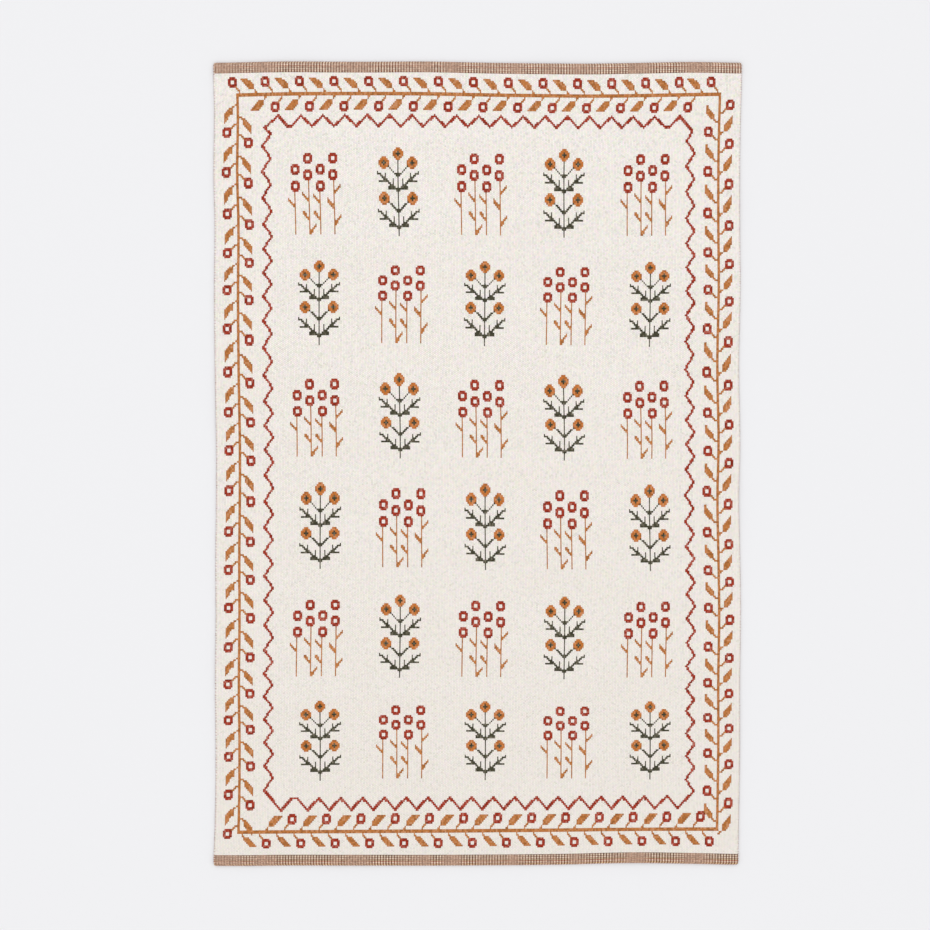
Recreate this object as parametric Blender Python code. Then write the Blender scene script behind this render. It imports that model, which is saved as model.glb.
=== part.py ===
"""Flatweave wool rug: one woven cloth whose two end bands are turned under as hems.

Metres, +Z up. The rug lies face up with its length along Y. The origin is the middle of its underside.
"""

import math
from collections import namedtuple

import bmesh
import bpy

# Cloth sizes
RUG_WIDTH = 1.600
RUG_LENGTH = 2.437
FIELD_THICKNESS = 0.0045
BAND_THICKNESS = 0.0023
BAND_WIDTH = 0.033
HEM_WIDTH = 0.031
HEM_GAP = 0.0005
RAMP_LENGTH = 0.014
CORNER_RADIUS = 0.006

# Mesh steps
FIELD_STEPS = 34
ACROSS_STEPS = 22
FOLD_STEPS = 6
RAMP_STEPS = 3

MILLIMETRE = 0.001

# How far each edge lies inside the full size, in millimetres. Hand weaving and packing leave it uneven.
SideInset = namedtuple("SideInset", "along left right")
EndInset = namedtuple("EndInset", "across near far")
# A soft low ridge where the cloth doesn't lie quite flat. Places and half sizes are in metres, turn in degrees.
Ripple = namedtuple("Ripple", "x y half_wide half_long turn height")
# How thick the rounded selvedge is at each distance in from the side, as a share of the cloth's thickness.
Selvedge = namedtuple("Selvedge", "inward share")

SIDE_INSETS = [
    SideInset(along=0.00, left=0.5, right=11),
    SideInset(along=0.15, left=6, right=9),
    SideInset(along=0.34, left=8, right=6),
    SideInset(along=0.56, left=6, right=6),
    SideInset(along=0.75, left=8, right=3),
    SideInset(along=0.92, left=7, right=5),
    SideInset(along=1.11, left=9, right=9),
    SideInset(along=1.29, left=9, right=5),
    SideInset(along=1.52, left=5, right=9),
    SideInset(along=1.75, left=3, right=4),
    SideInset(along=1.93, left=5, right=6),
    SideInset(along=2.11, left=1, right=6),
    SideInset(along=2.29, left=4, right=3),
    SideInset(along=2.38, left=0, right=0),
    SideInset(along=RUG_LENGTH, left=1, right=0.5),
]

END_INSETS = [
    EndInset(across=0.00, near=0.5, far=4),
    EndInset(across=0.08, near=0, far=2.5),
    EndInset(across=0.20, near=1.4, far=0),
    EndInset(across=0.45, near=1.5, far=1),
    EndInset(across=0.65, near=1.2, far=0),
    EndInset(across=0.80, near=1.9, far=3.3),
    EndInset(across=1.05, near=3.8, far=6.7),
    EndInset(across=1.17, near=6.7, far=6.4),
    EndInset(across=1.29, near=9.5, far=4.3),
    EndInset(across=1.47, near=6.7, far=1.4),
    EndInset(across=RUG_WIDTH, near=4, far=4),
]

RIPPLES = [
    Ripple(x=0.49, y=-1.12, half_wide=0.14, half_long=0.24, turn=4, height=3.0),
    Ripple(x=0.22, y=1.13, half_wide=0.15, half_long=0.22, turn=-6, height=2.6),
    Ripple(x=-0.55, y=1.15, half_wide=0.12, half_long=0.16, turn=8, height=1.6),
    Ripple(x=-0.40, y=-1.15, half_wide=0.16, half_long=0.16, turn=-5, height=1.4),
    Ripple(x=-0.74, y=0.16, half_wide=0.16, half_long=0.18, turn=12, height=2.2),
    Ripple(x=-0.75, y=-0.62, half_wide=0.14, half_long=0.17, turn=-9, height=1.8),
    Ripple(x=0.75, y=0.76, half_wide=0.14, half_long=0.16, turn=10, height=2.0),
    Ripple(x=0.74, y=-0.10, half_wide=0.15, half_long=0.19, turn=-8, height=2.2),
    Ripple(x=0.72, y=-0.74, half_wide=0.13, half_long=0.16, turn=6, height=1.6),
]

SELVEDGES = [
    Selvedge(inward=0.0, share=0.45),
    Selvedge(inward=0.0011, share=0.86),
    Selvedge(inward=0.0032, share=1.0),
]

# Wool colours
CREAM_WOOL = (0.84, 0.80, 0.73, 1.0)
WOOL_ROUGHNESS = 0.95


def clear_scene():
    """Remove every object that the scene starts with."""
    for item in list(bpy.data.objects):
        bpy.data.objects.remove(item, do_unlink=True)


def smooth_read(rows, key, value, at):
    """Read a table's value column at a place in its key column, on a smooth curve through its rows."""
    places = [getattr(row, key) for row in rows]
    heights = [getattr(row, value) for row in rows]
    at = min(max(at, places[0]), places[-1])
    last = len(rows) - 1
    first = max(index for index in range(last) if places[index] <= at)
    before = max(first - 1, 0)
    second = first + 1
    after = min(first + 2, last)
    span = places[second] - places[first]
    start_slope = (heights[second] - heights[before]) / (places[second] - places[before]) * span
    end_slope = (heights[after] - heights[first]) / (places[after] - places[first]) * span
    t = (at - places[first]) / span
    return (
        heights[first] * (2 * t**3 - 3 * t**2 + 1)
        + start_slope * (t**3 - 2 * t**2 + t)
        + heights[second] * (3 * t**2 - 2 * t**3)
        + end_slope * (t**3 - t**2)
    )


def corner_inset(end_distance):
    """How far a rounded corner draws a side in, at this distance from the rug's end."""
    if end_distance >= CORNER_RADIUS:
        return 0.0
    reach = CORNER_RADIUS - max(end_distance, 0.0)
    return CORNER_RADIUS - math.sqrt(CORNER_RADIUS**2 - reach**2)


def side_edges(y, end_distance):
    """The left and right x of the cloth at this y."""
    along = y + RUG_LENGTH / 2
    corner = corner_inset(end_distance)
    left = max(smooth_read(SIDE_INSETS, "along", "left", along), 0.0) * MILLIMETRE + corner
    right = max(smooth_read(SIDE_INSETS, "along", "right", along), 0.0) * MILLIMETRE + corner
    return -RUG_WIDTH / 2 + left, RUG_WIDTH / 2 - right


def end_edges(x):
    """The near and far y of the cloth at this x."""
    across = x + RUG_WIDTH / 2
    near = max(smooth_read(END_INSETS, "across", "near", across), 0.0) * MILLIMETRE
    far = max(smooth_read(END_INSETS, "across", "far", across), 0.0) * MILLIMETRE
    return -RUG_LENGTH / 2 + near, RUG_LENGTH / 2 - far


def lift(x, y):
    """How high the ripples raise the cloth off the floor here. It is exactly zero away from them."""
    height = 0.0
    for ripple in RIPPLES:
        turn = math.radians(ripple.turn)
        dx = x - ripple.x
        dy = y - ripple.y
        across = (dx * math.cos(turn) + dy * math.sin(turn)) / ripple.half_wide
        along = (dy * math.cos(turn) - dx * math.sin(turn)) / ripple.half_long
        inside = 1 - across**2 - along**2
        if inside > 0:
            height += ripple.height * MILLIMETRE * inside**2
    return height


def hem_path():
    """The middle line of one end of the cloth: from the hem's cut edge, round the fold and down to the field.

    Each point is (distance in from the end, height, cloth thickness).
    """
    lower = BAND_THICKNESS / 2
    upper = BAND_THICKNESS * 1.5 + HEM_GAP
    fold_radius = (BAND_THICKNESS + HEM_GAP) / 2
    fold_centre = BAND_THICKNESS + HEM_GAP / 2
    points = [(HEM_WIDTH, lower, BAND_THICKNESS), (HEM_WIDTH / 2, lower, BAND_THICKNESS)]
    for step in range(FOLD_STEPS + 1):
        angle = math.pi * step / FOLD_STEPS
        distance = fold_centre - fold_radius * math.sin(angle)
        height = fold_centre - fold_radius * math.cos(angle)
        points.append((distance, height, BAND_THICKNESS))
    points.append((BAND_WIDTH / 2, upper, BAND_THICKNESS))
    for step in range(RAMP_STEPS + 1):
        share = step / RAMP_STEPS
        eased = share * share * (3 - 2 * share)
        height = upper + (FIELD_THICKNESS / 2 - upper) * eased
        thickness = BAND_THICKNESS + (FIELD_THICKNESS - BAND_THICKNESS) * eased
        points.append((BAND_WIDTH + RAMP_LENGTH * share, height, thickness))
    return points


def cloth_path(x):
    """The middle line of the whole cloth at this x, as (y, height, thickness, distance in from the nearer end)."""
    near, far = end_edges(x)
    hem = hem_path()
    start = near + hem[-1][0]
    stop = far - hem[-1][0]
    path = [(near + distance, height, thickness, distance) for distance, height, thickness in hem]
    for step in range(1, FIELD_STEPS):
        y = start + (stop - start) * step / FIELD_STEPS
        path.append((y, FIELD_THICKNESS / 2, FIELD_THICKNESS, min(y - near, far - y)))
    for distance, height, thickness in reversed(hem):
        path.append((far - distance, height, thickness, distance))
    return path


def face_normals(path):
    """The direction of the cloth's face side at each point of its middle line, in the YZ plane."""
    normals = []
    for index in range(len(path)):
        back = path[max(index - 1, 0)]
        ahead = path[min(index + 1, len(path) - 1)]
        run = ahead[0] - back[0]
        rise = ahead[1] - back[1]
        length = math.hypot(run, rise)
        normals.append((-rise / length, run / length))
    return normals


def across_places():
    """Where the sections stand across the rug, as (side, inward distance, share of the width, thickness share)."""
    left = [("left", row.inward, 0.0, row.share) for row in SELVEDGES]
    middle = [("middle", 0.0, step / ACROSS_STEPS, 1.0) for step in range(1, ACROSS_STEPS)]
    right = [("right", row.inward, 1.0, row.share) for row in reversed(SELVEDGES)]
    return left + middle + right


def section_points(place):
    """The face and back points of one section of the cloth."""
    side, inward, share, thick_share = place
    path = cloth_path((share - 0.5) * RUG_WIDTH)
    normals = face_normals(path)
    face = []
    back = []
    for (y, height, thickness, end_distance), (normal_y, normal_z) in zip(path, normals):
        left, right = side_edges(y, end_distance)
        x = left + (right - left) * share
        if side == "left":
            x = left + inward
        if side == "right":
            x = right - inward
        half = thickness * thick_share / 2
        raised = height + lift(x, y)
        face.append((x, y + normal_y * half, raised + normal_z * half))
        back.append((x, y - normal_y * half, raised - normal_z * half))
    return face, back


def close_selvedge(mesh, face, back):
    """Fill one selvedge with a strip of faces between the face side and the back side."""
    for index in range(len(face) - 1):
        mesh.faces.new((face[index], face[index + 1], back[index + 1], back[index]))


def wool(name, colour):
    """A matt wool material."""
    material = bpy.data.materials.new(name)
    material.use_nodes = True
    shader = material.node_tree.nodes["Principled BSDF"]
    shader.inputs["Base Color"].default_value = colour
    shader.inputs["Roughness"].default_value = WOOL_ROUGHNESS
    shader.inputs["Metallic"].default_value = 0.0
    return material


def make_rug():
    """Loft the cloth's section across the rug into one closed solid."""
    mesh = bmesh.new()
    rings = []
    for place in across_places():
        face, back = section_points(place)
        rings.append(([mesh.verts.new(point) for point in face], [mesh.verts.new(point) for point in back]))
    for (face, back), (next_face, next_back) in zip(rings, rings[1:]):
        ring = face + back[::-1]
        next_ring = next_face + next_back[::-1]
        for index in range(len(ring)):
            after = (index + 1) % len(ring)
            mesh.faces.new((ring[index], next_ring[index], next_ring[after], ring[after]))
    close_selvedge(mesh, *rings[0])
    close_selvedge(mesh, *rings[-1])
    bmesh.ops.recalc_face_normals(mesh, faces=mesh.faces)
    data = bpy.data.meshes.new("rug")
    mesh.to_mesh(data)
    mesh.free()
    data.shade_smooth()
    data.set_sharp_from_angle(angle=math.radians(50))
    rug = bpy.data.objects.new("rug", data)
    rug.data.materials.append(wool("cream_wool", CREAM_WOOL))
    bpy.context.scene.collection.objects.link(rug)
    return rug


clear_scene()
make_rug()
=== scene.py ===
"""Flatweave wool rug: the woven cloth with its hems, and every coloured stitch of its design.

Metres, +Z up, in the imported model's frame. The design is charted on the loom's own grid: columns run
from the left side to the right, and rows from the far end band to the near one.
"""

import math
from collections import namedtuple
from functools import lru_cache

import bpy
import numpy as np
from bpy.props import FloatProperty, FloatVectorProperty, PointerProperty
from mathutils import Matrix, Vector
from mathutils.bvhtree import BVHTree


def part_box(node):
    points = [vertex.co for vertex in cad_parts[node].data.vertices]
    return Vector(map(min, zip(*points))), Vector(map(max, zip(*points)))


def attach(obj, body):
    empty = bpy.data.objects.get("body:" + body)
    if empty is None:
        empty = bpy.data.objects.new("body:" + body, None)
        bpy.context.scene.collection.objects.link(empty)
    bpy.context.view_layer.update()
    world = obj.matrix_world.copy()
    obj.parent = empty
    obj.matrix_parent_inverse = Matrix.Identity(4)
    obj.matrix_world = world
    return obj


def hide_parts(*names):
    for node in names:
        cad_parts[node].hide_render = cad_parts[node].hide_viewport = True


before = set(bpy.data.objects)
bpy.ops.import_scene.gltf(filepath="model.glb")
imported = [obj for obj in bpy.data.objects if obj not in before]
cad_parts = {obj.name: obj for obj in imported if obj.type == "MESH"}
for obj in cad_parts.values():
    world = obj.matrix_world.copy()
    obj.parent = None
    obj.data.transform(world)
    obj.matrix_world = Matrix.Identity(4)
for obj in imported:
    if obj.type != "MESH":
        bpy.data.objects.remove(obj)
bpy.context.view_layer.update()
RUG_LOW, RUG_HIGH = (np.array(corner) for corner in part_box("rug"))

bl_info = {
    "name": "Flatweave Wool Rug",
    "version": (1, 0, 0),
    "blender": (4, 5, 0),
    "location": "3D View > Sidebar > Rug",
    "description": "Weaves a flatweave wool rug with sprigs, a leaf border and checked end bands",
    "category": "Add Mesh",
}

MM = 0.001

# The loom's grid
COLUMNS = 338
# The charts count rows from the second one
FIRST_ROW = -1
LAST_ROW = 441
BAND_COLUMNS = 376
BAND_ROW = 3.03 * MM

# The cloth's section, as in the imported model
FIELD_THICKNESS = 4.5 * MM
BAND_THICKNESS = 2.3 * MM
BAND_WIDTH = 33 * MM
HEM_WIDTH = 31 * MM
HEM_GAP = 0.5 * MM
RAMP_LENGTH = 14 * MM
CORNER_RADIUS = 6 * MM
BAND_TOP = 2 * BAND_THICKNESS + HEM_GAP
FOLD_RADIUS = BAND_TOP / 2

# How tall the rows are, down the rug, in millimetres. Hand packing leaves them uneven.
Packing = namedtuple("Packing", "row height")
PACKING = [
    Packing(FIRST_ROW, 5.45),
    Packing(12, 5.4),
    Packing(33, 5.35),
    Packing(55, 5.6),
    Packing(68, 5.85),
    Packing(88, 5.35),
    Packing(110, 5.05),
    Packing(132, 5.3),
    Packing(154, 6.15),
    Packing(176, 5.5),
    Packing(198, 5.15),
    Packing(220, 5.6),
    Packing(236, 5.75),
    Packing(264, 5.2),
    Packing(286, 5.15),
    Packing(308, 5.5),
    Packing(330, 4.95),
    Packing(352, 4.85),
    Packing(385, 5.0),
    Packing(407, 5.45),
    Packing(418, 5.6),
    Packing(436, 5.0),
    Packing(LAST_ROW, 4.85),
]
# How much higher the rows lie at the right side than at the left, down the rug
Skew = namedtuple("Skew", "row rise")
SKEW = [
    Skew(FIRST_ROW, 0.0),
    Skew(10, 5 * MM),
    Skew(60, 5.5 * MM),
    Skew(120, 4 * MM),
    Skew(185, 1 * MM),
    Skew(260, 0.0),
    Skew(310, 3.5 * MM),
    Skew(345, 8 * MM),
    Skew(385, 15 * MM),
    Skew(410, 15 * MM),
    Skew(427, 9 * MM),
    Skew(LAST_ROW, 0.0),
]
# The middle columns lie a little to the right, and near the far end the columns spread out from the middle
COLUMN_DRIFT = 6.5 * MM
FAR_SPREAD = 4.6 * MM
FAR_SPREAD_ROWS = 100
# Across the middle of the rug the rows lie higher left of its centre line and lower right of it
ROW_SWAY = 4 * MM
END_FADE_ROWS = 30
UNEVENNESS = 0.25 * MM
UNEVENNESS_PITCH = 26 * MM
SEED = 5

# The bound sides are round and slightly scalloped, as the yarn turns back at every second row
SELVEDGE_RADIUS = 2.2 * MM
SELVEDGE_EDGE = 0.3
SELVEDGE_SCALLOP = 0.35 * MM

# How finely the cloth is cut into faces
SELVEDGE_CUTS = (0, 0.12, 0.35, 0.8, 1.6, 3)
CLOTH_STRIPS = 66
FOLD_STEPS = 10
HEM_STEPS = 9

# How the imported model's edges and ripples are read
READ_FROM_END = 20 * MM
ALONG_READS = 39
ACROSS_READS = 24
READ_HEIGHTS = np.arange(0.3, 8.0, 0.45) * MM
READ_ASIDE = 0.3 * MM

FAR = "far"
NEAR = "near"
HEM_END = BAND_WIDTH + HEM_WIDTH + (math.pi - 2) * FOLD_RADIUS

# Where the darker columns of the end bands lie, and how far they stand out, across one strip
BAND_STRIP = ((-0.5, -0.15 * MM), (-0.3, 0.3 * MM), (0.3, 0.3 * MM), (0.5, -0.15 * MM))

# The corners of one stitch of coloured wool, in columns and rows
CELL_CORNERS = ((0, 0), (1, 0), (1, 1), (0, 1))
STITCH_HEIGHT = 0.7 * MM
STITCH_EDGE = 0.2
STITCH_FOOT = 0.6 * MM
# The ground wool closes over a coloured stitch's open sides, by these shares of a column and of a row
VINE_NARROWING = (0.2, 0.0)
STALK_NARROWING = (0.16, 0.0)
SHAPE_NARROWING = (0.09, 0.03)

# The vine round the rug. Places on it are given ahead along its stem, and then outwards.
BORDER_REPEAT = 22
FINE = 0.62
LEAF_STALK = [(0, 0.8), (1.4, 3.0)]
LEAF_BODY = [
    (1.3, 3.0), (1.6, 5.4), (4.7, 8.4), (6.6, 9.3), (11, 9.3), (9.4, 7.4), (6.9, 5.2), (4.9, 3.0), (2.0, 2.9),
]
RING_STALK = [(-5.3, 0.8), (-1.9, 4.4)]
Vine = namedtuple("Vine", "stem ahead out ring_out rings leaves")
Run = namedtuple("Run", "offset low high")
RING = [Run(0.5, 1, 3), Run(1.5, 0, 3), Run(2.5, 0, 2)]
RING_HOLE = [Run(0.5, 0, 1)]

# The zigzag inside the vine
ZIGZAG_REACH = 0.85

# The sprigs of the field, as columns out from the stem and rows down from the top
SPRIG_ROWS = [41, 103, 165, 226, 289, 351]
SPRIG_COLUMNS = [[64, 117, 170, 223, 277], [66, 119, 172, 225, 279]]
HEAD = [Run(0, 0, 3.2), Run(1, 0, 3.2), Run(2, 0, 2.2), Run(3, 0, 1.2)]
HEART = [Run(0, 0, 1.2), Run(1, 0, 0.2)]
MARIGOLD_HEADS = [(0, 3.5), (-9, 8.5), (9, 8.5), (-9, 27.5), (9, 27.5)]
MARIGOLD_STEMS = [
    [(0, 16.3), (6, 10.5)],
    [(0, 34.8), (6, 29.5)],
    [(0, 24), (6, 19), (12.7, 14)],
    [(3, 22), (3, 18)],
    [(2.3, 22), (6.5, 22)],
    [(8, 17), (8, 14.5)],
    [(7.5, 18.2), (12, 18.2)],
    [(0, 44), (6, 39), (12.7, 34)],
    [(3, 42), (3, 38)],
    [(2.3, 42), (6.5, 42)],
    [(8, 37), (8, 34.5)],
    [(7.5, 38.2), (12, 38.2)],
]
Flower = namedtuple("Flower", "out stem_out rings leaves")
BUNCH_FLOWERS = [
    Flower(-12, -0.5, (12, 21), [(-1, 31.5)]),
    Flower(-4, 0.5, (6, 15), [(-1, 28.5), (-1, 38.2), (1, 45.8)]),
    Flower(4, -0.5, (12, 21), [(-1, 29.6), (-1, 38.2)]),
    Flower(12, 0.5, (6, 15), [(1, 24.6), (-1, 31.9), (1, 40.8)]),
]
BUNCH_LEAF = [(0.6, 0.0), (4.0, 3.6)]
BUNCH_LEAF_REACH = 0.85

# Yarn ends that turn round the bound sides
TUBE_SIDES = 5
TURN_PITCH = (5 * MM, 10 * MM)
TURN_OVER = 3.0 * MM
TURN_OUT = 0.5 * MM
TURN_SLANT = 0.8 * MM
TURN_WIDE = 3.2 * MM
TURN_HIGH = 1.0 * MM

# Overhand stitches over the hem's cut edge: millimetres in from the end, up from the floor and to the side
HEM_STITCH_PITCH = 10 * MM
HEM_STITCH = ((27.5, 0.2, -0.8), (30.6, 0.0, -0.1), (31.5, 0.7, 0.2), (31.9, 2.0, 0.5), (33.2, 2.9, 0.9))

# The wools' sRGB colours
CREAM = "F9F4EE"
RUST = "AC3A24"
OCHRE = "C47C42"
GOLD = "CC7A3A"
GREEN = "4C4A38"
FLOOR_COLOUR = "E8E8EA"
# The end bands' picks, from the field out over the fold and back along the hem, first at the far end and then
# on from the middle of the list at the near end
BAND_GROUND = [
    "BDA08E", "E6D2BC", "C3A592", "EADBC8", "CDB09C", "DCC6B0", "C9957F", "E8D8C4", "DCC0B2", "D9C4A4", "DDC0B4",
    "A98F7C", "E9D9C4", "B39580", "E6D5C2", "C3A28C", "CBB99C", "C1826C", "E8D6C0", "CFAA9A", "CFB286", "DDBCB0",
]
BAND_MIXED = "B99783"
BAND_DARK = [
    "5E3A30", "93604A", "764A3C", "A07C66", "744E40", "957060", "7A4838", "A07C68", "946558", "977458", "96665A",
    "553F36", "9C7860", "543026", "9A7862", "71483A", "82704E", "7C3626", "9C745C", "7A4C40", "86602E", "96665A",
]
FLECK_SHARE = 0.09

# The stage: a camera straight above, as in the photo
WORLD_LIGHT = 1.04
SOFTBOX_POWER = 26
CAMERA_LENS = 85
CAMERA_PLACE = (-0.0379, -0.0038, 6.655)

Cloth = namedtuple("Cloth", "left right near far lift low high")


def spline_weights(share):
    """The four weights of a smooth curve through equally spaced values, at this share of the way between two."""
    return (
        (-share + 2 * share**2 - share**3) / 2,
        (2 - 5 * share**2 + 3 * share**3) / 2,
        (share + 4 * share**2 - 3 * share**3) / 2,
        (-(share**2) + share**3) / 2,
    )


def spline_places(low, high, count, at):
    """The index before each place on an even scale, and its share of the way to the next."""
    steps = np.clip((np.asarray(at) - low) / (high - low), 0, 1) * (count - 1)
    first = np.clip(np.floor(steps).astype(int), 0, count - 2)
    return first, steps - first


def read_line(values, low, high, at):
    """Read a row of evenly spaced values on a smooth curve."""
    first, share = spline_places(low, high, len(values), at)
    total = 0
    for step, weight in enumerate(spline_weights(share)):
        total = total + weight * values[np.clip(first + step - 1, 0, len(values) - 1)]
    return total


def read_grid(values, low, high, x, y):
    """Read a grid of evenly spaced values on a smooth surface."""
    wide, long = values.shape
    first_x, share_x = spline_places(low[0], high[0], wide, x)
    first_y, share_y = spline_places(low[1], high[1], long, y)
    total = 0
    for step_x, weight_x in enumerate(spline_weights(share_x)):
        column = np.clip(first_x + step_x - 1, 0, wide - 1)
        for step_y, weight_y in enumerate(spline_weights(share_y)):
            row = np.clip(first_y + step_y - 1, 0, long - 1)
            total = total + weight_x * weight_y * values[column, row]
    return total


@lru_cache(maxsize=1)
def measured_cloth():
    """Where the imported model's edges lie, and how high its ripples lift it, read from its surface."""
    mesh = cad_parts["rug"].data
    tree = BVHTree.FromPolygons([v.co for v in mesh.vertices], [p.vertices for p in mesh.polygons])
    low = RUG_LOW[:2]
    high = RUG_HIGH[:2]

    def edge(x, y, direction):
        """The outermost hit on the cloth over all the heights that its edge may have."""
        hits = [tree.ray_cast((x, y, height), direction)[0] for height in READ_HEIGHTS]
        along = [hit.x * direction[0] + hit.y * direction[1] for hit in hits if hit]
        return min(along) * (direction[0] + direction[1])

    def underside(x, y):
        """How high the cloth's underside lies. A ray that meets an edge of the mesh misses, so another goes beside it."""
        hits = [tree.ray_cast((x + aside, y + aside, -1), (0, 0, 1))[0] for aside in (0, READ_ASIDE)]
        return next(hit.z for hit in hits if hit)

    inner_low = low + READ_FROM_END
    inner_high = high - READ_FROM_END
    places_y = np.linspace(inner_low[1], inner_high[1], ALONG_READS)
    places_x = np.linspace(inner_low[0], inner_high[0], ACROSS_READS)
    lift = [[max(underside(x, y), 0) for y in places_y] for x in places_x]
    return Cloth(
        left=np.array([edge(-2, y, (1, 0, 0)) for y in places_y]),
        right=np.array([edge(2, y, (-1, 0, 0)) for y in places_y]),
        near=np.array([edge(x, -3, (0, 1, 0)) for x in places_x]),
        far=np.array([edge(x, 3, (0, -1, 0)) for x in places_x]),
        lift=np.array(lift),
        low=inner_low,
        high=inner_high,
    )


@lru_cache(maxsize=1)
def unevenness_grid():
    """Small heights on an even grid, for the unevenness of cloth woven by hand."""
    size = RUG_HIGH[:2] - RUG_LOW[:2]
    wide, long = (int(extent / UNEVENNESS_PITCH) for extent in size)
    return np.random.default_rng(SEED).uniform(0, UNEVENNESS, (wide, long))


@lru_cache(maxsize=1)
def row_shares():
    """How far down the field each row starts, as a share of its length."""
    rows = np.arange(FIRST_ROW, LAST_ROW)
    heights = np.interp(rows + 0.5, [row.row for row in PACKING], [row.height for row in PACKING])
    return np.concatenate(([0], np.cumsum(heights))) / heights.sum()


def lift_at(x, y):
    """How high the ripples and the hand-woven unevenness raise the cloth here."""
    cloth = measured_cloth()
    ripple = read_grid(cloth.lift, cloth.low, cloth.high, x, y)
    uneven = read_grid(unevenness_grid(), RUG_LOW[:2], RUG_HIGH[:2], x, y)
    return np.maximum(ripple, 0) + uneven


def side_edges(y):
    """The cloth's left and right x at each y, without its rounded corners."""
    cloth = measured_cloth()
    left = read_line(cloth.left, cloth.low[1], cloth.high[1], y)
    right = read_line(cloth.right, cloth.low[1], cloth.high[1], y)
    return left, right


def end_edges(x):
    """The cloth's near and far y at each x."""
    cloth = measured_cloth()
    near = read_line(cloth.near, cloth.low[0], cloth.high[0], x)
    far = read_line(cloth.far, cloth.low[0], cloth.high[0], x)
    return near, far


def field_height(distance):
    """How high the cloth's face lies, and how thick it is, at a distance in from the nearer end."""
    share = np.clip((distance - BAND_WIDTH) / RAMP_LENGTH, 0, 1)
    eased = share * share * (3 - 2 * share)
    top = BAND_TOP + (FIELD_THICKNESS - BAND_TOP) * eased
    return top, BAND_THICKNESS + (FIELD_THICKNESS - BAND_THICKNESS) * eased


def lay_field(u, r):
    """The x, y and z of the cloth's face at a column and row of the grid, and its thickness there."""
    cloth = measured_cloth()
    u = np.asarray(u, float)
    r = np.asarray(r, float)
    top = cloth.far.mean() - BAND_WIDTH
    bottom = cloth.near.mean() + BAND_WIDTH
    y = top + (bottom - top) * np.interp(r, np.arange(FIRST_ROW, LAST_ROW + 1), row_shares())
    left, right = side_edges(y)
    drift = COLUMN_DRIFT * np.sin(math.pi * u / COLUMNS)
    spread = FAR_SPREAD * np.clip(1 - r / FAR_SPREAD_ROWS, 0, 1) * np.sin(math.pi * (2 * u / COLUMNS - 1))
    x = left + (right - left) * u / COLUMNS + drift + spread
    near, far = end_edges(x)
    far_pull = np.clip(1 - (r - FIRST_ROW) / END_FADE_ROWS, 0, 1) ** 2
    near_pull = np.clip(1 - (LAST_ROW - r) / END_FADE_ROWS, 0, 1) ** 2
    skew = np.interp(r, [row.row for row in SKEW], [row.rise for row in SKEW])
    y = y + (far - cloth.far.mean()) * far_pull + (near - cloth.near.mean()) * near_pull
    y = y + skew * (u / COLUMNS - 0.5)
    sway = ROW_SWAY * np.clip(np.minimum((r - FIRST_ROW) / 8, (LAST_ROW - 14 - r) / 40), 0, 1)
    y = y + sway * np.sin(2 * math.pi * u / COLUMNS)
    height, thickness = field_height(np.minimum(y - near, far - y))
    return x, y, lift_at(x, y) + height, thickness


def lay_band(end, u, from_field, outward=0.0):
    """A point on an end band's outer face, or outward of it, this far along the face from the field.

    The face goes over the band, round the fold and back along the hem.
    """
    over = BAND_WIDTH - FOLD_RADIUS
    turn = np.clip((from_field - over) / FOLD_RADIUS, 0, math.pi)
    under = np.maximum(from_field - over - math.pi * FOLD_RADIUS, 0)
    ahead = np.minimum(from_field, over)
    distance = BAND_WIDTH - ahead + under - (FOLD_RADIUS + outward) * np.sin(turn)
    height = FOLD_RADIUS + (FOLD_RADIUS + outward) * np.cos(turn)
    u = np.asarray(u, float)
    reach = CORNER_RADIUS - np.clip(distance, 0, CORNER_RADIUS)
    corner = CORNER_RADIUS - np.sqrt(CORNER_RADIUS**2 - reach**2)
    near, far = end_edges(RUG_LOW[0] + (RUG_HIGH[0] - RUG_LOW[0]) * u / COLUMNS)
    y = far - distance if end == FAR else near + distance
    left, right = side_edges(y)
    x = left + corner + (right - left - 2 * corner) * u / COLUMNS
    return x, y, lift_at(x, y) + height


def selvedge_share(u):
    """How much of its thickness the cloth keeps here. The bound sides are round."""
    distance = np.minimum(u, COLUMNS - u) * (RUG_HIGH[0] - RUG_LOW[0]) / COLUMNS
    share = 1 - np.clip(distance / SELVEDGE_RADIUS, 0, 1)
    return np.maximum(np.sqrt(1 - share**2), SELVEDGE_EDGE)


def selvedge_scallop(u, row):
    """How far the side yarns bulge past the mean edge as they turn from one row into the next."""
    distance = np.minimum(u, COLUMNS - u)
    reach = np.clip(1 - distance, 0, 1) * SELVEDGE_SCALLOP * np.cos(math.pi * row)
    return np.where(u < COLUMNS / 2, -reach, reach)


def cloth_columns():
    """The columns at which the cloth is cut into faces, closer together at its round sides."""
    side = np.array(SELVEDGE_CUTS)
    middle = np.linspace(side[-1], COLUMNS - side[-1], CLOTH_STRIPS + 1)[1:-1]
    return np.concatenate((side, middle, COLUMNS - side[::-1]))


def band_stations():
    """How far along a band's outer face each of its stations lies, from the field to the hem's cut edge."""
    over = BAND_WIDTH - FOLD_RADIUS
    around = math.pi * FOLD_RADIUS
    flat = np.arange(BAND_ROW, over - BAND_ROW / 2, BAND_ROW)
    fold = over + around * np.linspace(0, 1, FOLD_STEPS + 1)
    hem = np.linspace(over + around, HEM_END, HEM_STEPS + 1)[1:]
    return np.concatenate((flat, fold, hem))


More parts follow.
